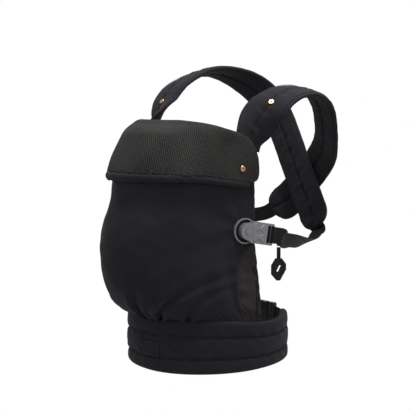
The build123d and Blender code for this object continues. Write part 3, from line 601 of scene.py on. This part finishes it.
# -------------------------------------------------------------- shoulder straps
# Padded twill straps with a sewn middle channel and a piped edge. The wearer's left
# strap crosses outside the right one behind the back.
# Rows: x, y, z, outward direction, share of the width.
near_rows = np.array((
    (0.1222, -0.025, 0.3947, 1, -0.09, 0, 0.80), (0.1232, -0.022, 0.4107, 1, -0.12, 0.02, 0.84),
    (0.1299, -0.005, 0.4437, 0.80, -0.50, 0.32, 0.97),
    (0.1410, 0.019, 0.4757, 0.35, -0.76, 0.55, 1),
    (0.1420, 0.046, 0.4907, 0.25, -0.45, 0.86, 1), (0.1420, 0.076, 0.4977, 0.22, -0.12, 0.97, 1),
    (0.1406, 0.118, 0.4967, 0.22, 0.15, 0.96, 1), (0.1342, 0.158, 0.4807, 0.28, 0.55, 0.78, 1),
    (0.1228, 0.190, 0.4527, 0.34, 0.78, 0.52, 1), (0.1058, 0.217, 0.4177, 0.32, 0.88, 0.34, 1),
    (0.0760, 0.249, 0.3827, 0.22, 0.95, 0.22, 1), (0.0362, 0.272, 0.3497, 0.10, 0.98, 0.12, 1),
    (0.0, 0.289, 0.3237, 0.02, 1, 0.06, 1), (-0.0327, 0.291, 0.2917, -0.05, 1, 0.02, 1),
    (-0.0582, 0.283, 0.2667, -0.22, 0.97, 0, 1), (-0.0710, 0.270, 0.2577, -0.32, 0.95, 0, 1),
    (-0.0781, 0.265, 0.2527, -0.38, 0.92, 0, 1)))
far_rows = np.array((
    (0.1222, -0.025, 0.3947, 1, -0.09, 0, 0.80), (0.1232, -0.022, 0.4107, 1, -0.12, 0.02, 0.84),
    (0.1314, -0.005, 0.4437, 0.66, -0.62, 0.34, 0.97),
    (0.1410, 0.019, 0.4757, 0.18, -0.82, 0.52, 1),
    (0.1413, 0.045, 0.5027, 0.12, -0.58, 0.80, 1), (0.1399, 0.076, 0.5207, 0.14, -0.29, 0.94, 1),
    (0.1370, 0.120, 0.5357, 0.18, -0.05, 0.98, 1), (0.1314, 0.166, 0.5377, 0.20, 0.22, 0.95, 1),
    (0.1207, 0.212, 0.5257, 0.26, 0.60, 0.75, 1), (0.0966, 0.252, 0.4947, 0.30, 0.84, 0.44, 1),
    (0.0682, 0.270, 0.4507, 0.22, 0.95, 0.20, 1), (0.0341, 0.264, 0.4007, 0.10, 0.99, 0.06, 1),
    (0.0, 0.259, 0.3387, 0, 1, -0.02, 1), (-0.0185, 0.256, 0.3047, -0.04, 1, -0.06, 1),
    (-0.0383, 0.252, 0.2747, -0.08, 0.98, -0.16, 1),
    (-0.0525, 0.248, 0.2487, -0.12, 0.95, -0.28, 1),
    (-0.0582, 0.243, 0.2347, -0.16, 0.93, -0.33, 1),
    (-0.0618, 0.240, 0.2257, -0.18, 0.92, -0.36, 1)))
far_rows = far_rows * (-1, 1, 1, -1, 1, 1, 1)


def route(rows, count):
    """Even stations along rows of places and outward directions: place, ahead, across,
    outward, run, extra columns."""
    run_ = np.append(0, np.linalg.norm(np.diff(rows[:, :3], axis=0), axis=1).cumsum())
    even = np.linspace(0, run_[-1], count)
    read = smooth_run(even, run_, rows)
    place, outward_ = read[:, :3], read[:, 3:6]
    ahead_ = np.gradient(place, axis=0)
    ahead_ /= np.linalg.norm(ahead_, axis=1, keepdims=True)
    outward_ = outward_ - ahead_ * (outward_ * ahead_).sum(1, keepdims=True)
    outward_ /= np.linalg.norm(outward_, axis=1, keepdims=True)
    return place, ahead_, np.cross(ahead_, outward_), outward_, even, read[:, 6:]


strap_half_width, strap_half_thick = 0.036, 0.006
for word, rows in (("left", near_rows), ("right", far_rows)):
    place, ahead, across, outward, run, extra = route(rows, 620)
    length = run[-1]
    u = np.linspace(0, math.tau, 84, endpoint=False)
    left_to_go = length - run
    tip = np.sqrt(1 - np.clip(1 - left_to_go / 0.034, 0, 1) ** 2 * 0.999)
    wide = strap_half_width * extra[:, 0] * tip
    side_u = np.cos(u)[None, :] * np.ones((len(run), 1))
    lens_ = np.sign(np.sin(u)) * np.abs(np.sin(u)) ** 0.55
    start = np.clip(run / 0.10, 0, 1)
    thick = strap_half_thick * (0.45 + 0.55 * start) * np.sqrt(np.clip(left_to_go / 0.012, 0.01, 1))
    off = side_u * wide[:, None]
    phase = run[:, None]
    seam_here = dip(off, 0.0030)
    rib = 1.12 - 0.62 * seam_here - 0.30 * dip(np.abs(off) - wide[:, None] * 0.90, 0.0022)
    puff = thick[:, None] * lens_[None, :] * rib
    wrinkle = 0.0007 * ripple((1, phase * 230 + 4 * side_u), (0.7, phase * 131 - 3 * side_u),
                              (0.5, phase * 390))
    wrinkle = wrinkle * (dip(np.abs(off), 0.014) + 0.25 * dip(np.abs(off) - wide[:, None], 0.010))
    sway = 0.0005 * ripple((1, phase * 33 + side_u), (0.6, phase * 57))
    points = (place[:, None] + across[:, None] * off[..., None]
              + outward[:, None] * (puff + wrinkle * np.sign(lens_)[None, :] + sway)[..., None])
    strap = cloth_surface(f"shoulder_strap_{word}", points, cotton, close_across=True)
    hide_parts(f"shoulder_strap_cover_{word}", f"shoulder_strap_lining_{word}",
                f"shoulder_strap_padding_{word}")
    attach(strap, "root")
    keep = (run > 0.02) & (left_to_go > 0.012)
    mid = place + outward * (thick * 0.55)[:, None]
    line = stitch_line(f"strap_middle_stitches_{word}", mid[keep], outward[keep], thread_black)
    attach(line, "root")
    for edge_side in (1, -1):
        rim = (place + across * (edge_side * (wide - 0.0062))[:, None]
               + outward * (thick * 0.80)[:, None])
        keep = (run > 0.02) & (left_to_go > 0.020)
        line = stitch_line(f"strap_edge_stitches_{word}_{'a' if edge_side > 0 else 'b'}", rim[keep],
                           outward[keep], thread_black)
        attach(line, "root")

# -------------------------------------------------------------------- webbing
# Black polyester webbing, 30 mm on the straps and 38 mm at the waist, ribbed across.
def ribbed(name, deep, raised, pitch, bump):
    """Cross ribs: height is the sine of the length along the strip; a coarser sine
    across it shows the warp. The colour follows the same height: rib tops are painted
    lighter and hollows darker, as painted highlight and shade."""
    made, tree, shader = new_material(name, 0.62, 0.0)
    place_ = add(tree, "ShaderNodeTexCoord")
    scaled = add(tree, "ShaderNodeMapping", {"Vector": place_.outputs["UV"],
                                             "Scale": (math.tau / 0.0030, math.tau / pitch, 1)})
    split = add(tree, "ShaderNodeSeparateXYZ", {0: scaled.outputs[0]})
    rib_ = add(tree, "ShaderNodeMath", {0: split.outputs[1]}, operation="SINE")
    warp = add(tree, "ShaderNodeMath", {0: split.outputs[0]}, operation="SINE")
    both = add(tree, "ShaderNodeMath", {0: warp.outputs[0], 1: 0.35, 2: rib_.outputs[0]},
               operation="MULTIPLY_ADD")
    share_ = add(tree, "ShaderNodeMapRange", {"Value": both.outputs[0], "From Min": -1.35,
                                              "From Max": 1.35})
    # Painted highlight on the rib tops and painted shade in the hollows between them.
    tint = add(tree, "ShaderNodeMix", {"Factor": share_.outputs[0], 6: linear(deep),
                                       7: linear(raised)}, data_type="RGBA")
    tree.links.new(tint.outputs[2], shader.inputs["Base Color"])
    shader.inputs["Specular IOR Level"].default_value = 0.08
    bumped = add(tree, "ShaderNodeBump", {"Height": both.outputs[0], "Strength": bump,
                                          "Distance": 0.0004})
    tree.links.new(bumped.outputs[0], shader.inputs["Normal"])
    return made


# 060608 is the painted shade of the rib hollows, #131316 the painted highlight of the rib tops.
webbing = ribbed("black_ribbed_webbing", "#060608", "#131316", 0.0026, 0.8)


def strip(name, rows, width, count, thick=0.0018):
    """A flat strip with rounded edges through rows of place and face direction."""
    place, ahead, across, outward, run, _ = route(rows, count)
    u = np.linspace(0, math.tau, 28, endpoint=False)
    flat_u = np.sign(np.cos(u)) * np.abs(np.cos(u)) ** 0.35
    flat_v = np.sign(np.sin(u)) * np.abs(np.sin(u)) ** 0.35
    points = (place[:, None] + across[:, None] * (flat_u * width / 2)[None, :, None]
              + outward[:, None] * (flat_v * thick / 2)[None, :, None])
    uv = np.stack(np.broadcast_arrays((flat_u * width / 2)[None, :], run[:, None]), 2)
    made = cloth_surface(name, points, webbing, close_across=True, uv=uv)
    return made


def buckle_axes(side):
    """Place and axes of a side buckle: along the webbing, across it, out of the panel."""
    origin = np.array((side * 0.12834, -0.034, 0.252))
    along_ = np.array((side * 0.25473, 0.94899, -0.1858))
    out_ = np.array((side * 1.0, -0.072, 0))
    out_ = out_ - along_ * out_.dot(along_)
    out_ /= np.linalg.norm(out_)
    return origin, along_, np.cross(out_, along_), out_


for word, side, rows in (("left", 1, far_rows), ("right", -1, near_rows)):
    origin, along_, cross_, out_ = buckle_axes(side)
    start = origin + along_ * 0.0690 + out_ * 0.0060
    tail = rows[-1, :3] - rows[-2, :3]
    end = rows[-1, :3] - tail / np.linalg.norm(tail) * 0.010
    gap = end - start
    if side > 0:
        offsets = ((0.10, .0009, 0, -.009), (0.30, .006, 0, -.016), (0.52, .0095, 0, -.024),
                   (0.70, .010, .001, -.026), (0.86, .010, .003, -.019), (0.97, .006, .006, -.006))
        faces = ((1, -.1, -.1), (.80, .1, -.55), (.55, .3, -.75), (.20, .45, -.85),
                 (-.05, .75, -.60), (-.15, .93, -.35))
    else:
        offsets = ((0.08, -.003, 0, -.002), (0.25, -.014, 0, -.006), (0.45, -.022, 0, -.010),
                   (0.65, -.025, .004, -.013), (0.82, -.021, .008, -.014),
                   (0.94, -.009, .008, -.009))
        faces = ((-1, 0, 0), (-.98, .15, 0), (-.9, .40, 0), (-.75, .65, .05), (-.6, .8, .1),
                 (-.45, .88, .15))
    line = [(*start, *out_, 0), (*(start + along_ * 0.005), *out_, 0)]
    for (share_, dx, dy, dz), face_ in zip(offsets, faces):
        line.append((*(start + gap * share_ + np.array((dx, dy, dz))), *face_, 0))
    line.append((*end, *rows[-1, 3:6], 0))
    strip_ = strip(f"side_webbing_{word}", np.array(line), 0.030, 260)
    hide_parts(f"strap_webbing_{word}")
    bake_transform(strip_)

# A narrow tape is sewn into each folded end and carries the moulded pull tab.
for word, side in (("left", 1), ("right", -1)):
    origin, along_, cross_, out_ = buckle_axes(side)
    hang = origin + along_ * 0.066 + out_ * 0.0051 + (side * 0.002, 0, -0.020)
    rows = np.array([(*(hang + (0, 0, lift_)), side * 0.7071, -0.7071, 0, 0)
                     for lift_ in (0.015, 0.007, 0.0019)])
    held_tape = strip(f"tape_root_{word}", rows, 0.0068, 24, 0.0014)
    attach(held_tape, f"buckle_insert_{word}")

# A dark cotton disc lies in the buckle's round base round its hub: painted shade in the
# hollow between hub and rim. The housing carries a raised, waisted plate.
for word, side in (("left", 1), ("right", -1)):
    origin, along_, cross_, out_ = buckle_axes(side)
    spin = np.linspace(0, math.tau, 72, endpoint=False)[None, :]
    radius = np.array((0.0091, 0.0150, 0.0202))[:, None]
    disc = (origin + along_ * (radius * np.cos(spin))[..., None]
            + cross_ * (radius * np.sin(spin))[..., None] + out_ * -0.0021)
    # This dark disc is painted shade in the base's hollow round the hub.
    shade_disc = cloth_surface(f"buckle_shade_disc_{word}", disc[:, ::side], cotton, close_across=True)
    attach(shade_disc, "root")
    edge_x = np.array((9.5, 12.5, 15.5, 20, 25, 29, 32, 34.6)) / 1000
    edge_y = np.array((12.2, 16.0, 15.6, 11.6, 11.6, 15.2, 16.2, 15.8)) / 1000
    fine = np.linspace(edge_x[0], edge_x[-1], 60)
    half_y = smooth_run(fine, edge_x, edge_y)[:, None]
    v_ = np.linspace(-1, 1, 48)[None, :]
    near_edge = np.minimum(np.minimum((1 - np.abs(v_)) * half_y, (fine - fine[0])[:, None]),
                           (fine[-1] - fine)[:, None])
    lift_ = 0.0012 * np.sqrt(1 - (1 - np.clip(near_edge / 0.0014, 0, 1)) ** 2)
    lift_ = lift_ - 0.0008 * np.clip((0.0052 - np.abs(np.hypot((fine[:, None] - 0.0225) * 0.6,
                                                              v_ * half_y))) / 0.0008, 0, 1)
    top_plate = (origin + along_ * (fine[:, None] + 0 * v_)[..., None]
                 + cross_ * (half_y * v_)[..., None] + out_ * (0.0100 + lift_)[..., None])
    plate = cloth_surface(f"buckle_top_plate_{word}", top_plate[:, ::-side], cotton)
    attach(plate, "root")

# Waist webbing comes out of the belt's padded ends and into the buckle at the back.
for word, side, first, last in (("left", 1, 0.0375, 0.085), ("right", -1, 0.0315, 0.085)):
    across_x = side * np.linspace(first, last, 12)
    ring_x, ring_y = belt_half_x - 0.007, belt_half_y - 0.007
    back_y = ring_y * np.sqrt(1 - (across_x / ring_x) ** 2)
    rows = np.stack([across_x, back_y, 0.062 + 0 * across_x, across_x / ring_x ** 2 * 0.02,
                     back_y / ring_y ** 2 * 0.02, 0 * across_x, 0 * across_x], 1)
    waist_strip = strip(f"waist_strip_{word}", rows, 0.038, 120)
    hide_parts(f"waist_webbing_{word}")
    if side > 0:
        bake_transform(waist_strip)
    else:
        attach(waist_strip, "root")

for word in ("left", "right"):
    buckle_side = 1 if word == "left" else -1
    origin, along_, cross_, out_ = buckle_axes(buckle_side)
    # The webbing comes in behind the ladder's end bar, passes round its middle bar and
    # is folded back on itself and sewn.
    loop_line = np.array(((0.0715, 0.0070), (0.0650, 0.0072), (0.0580, 0.0086), (0.0545, 0.0104),
                          (0.0518, 0.0103), (0.0500, 0.0075), (0.0488, 0.0030), (0.0462, -0.0001),
                          (0.0440, 0.0008), (0.0428, 0.0050), (0.0436, 0.0092), (0.0458, 0.0104)))
    step = np.gradient(loop_line, axis=0)
    facing = np.stack([step[:, 1], -step[:, 0]], 1)
    rows = np.array([(*(origin + along_ * a_ + out_ * b_), *(along_ * -fa + out_ * -fb), 0)
                     for (a_, b_), (fa, fb) in zip(loop_line, -facing)])
    looped = strip(f"webbing_loop_{word}", rows, 0.030, 220)
    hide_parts(f"webbing_fold_{word}")
    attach(looped, f"buckle_insert_{word}")
    under = np.array([(*(origin + along_ * a_ + out_ * b_), *out_, 0)
                      for a_, b_ in ((0.0560, 0.0048), (0.0640, 0.0046), (0.0720, 0.0050))])
    tail_ = strip(f"webbing_tail_{word}", under, 0.030, 60, 0.0030)
    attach(tail_, f"buckle_insert_{word}")

# ------------------------------------------------------- plastics and press studs
# Side buckles: light grey moulded acetal. Waist buckle: the same in black. The press
# studs are rose gold plated brass, and the pull tabs are soft black rubber.
def moulded(name, colour, roughness, specular=0.5, metallic=0.0, grain=0.1):
    """Plain moulded surface: the colour, with a fine grain from noise."""
    made, tree, shader = new_material(name, roughness, metallic=metallic, specular=specular)
    shader.inputs["Base Color"].default_value = linear(colour)
    place_ = add(tree, "ShaderNodeTexCoord")
    noise = add(tree, "ShaderNodeTexNoise", {"Vector": place_.outputs["Object"], "Scale": 900.0})
    bumped = add(tree, "ShaderNodeBump", {"Height": noise.outputs[0], "Strength": grain,
                                          "Distance": 0.0002})
    tree.links.new(bumped.outputs[0], shader.inputs["Normal"])
    return made


grey_acetal = moulded("light_grey_acetal", "#4c4c4e", 0.32, grain=0.15)
black_acetal = moulded("black_acetal", "#08080a", 0.45, 0.22)
soft_rubber = moulded("soft_black_rubber", "#08090c", 0.55, 0.15)
rose_gold = moulded("rose_gold_plate", "#a8785a", 0.30, metallic=1.0, grain=0.03)
for word in ("left", "right"):
    plate = bpy.data.objects[f"buckle_top_plate_{word}"]
    plate.data.materials.clear()
    plate.data.materials.append(grey_acetal)
for node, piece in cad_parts.items():
    finish = (black_acetal if node.startswith("waist_buckle") else
              grey_acetal if node.startswith("buckle_") else
              soft_rubber if node.startswith("pull_tab") else
              rose_gold if "snap" in node else webbing)
    piece.data.materials.clear()
    piece.data.materials.append(finish)

for word in ("left", "right"):
    for part_ in ("cap", "socket"):
        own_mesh(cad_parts[f"head_snap_{part_}_{word}"])
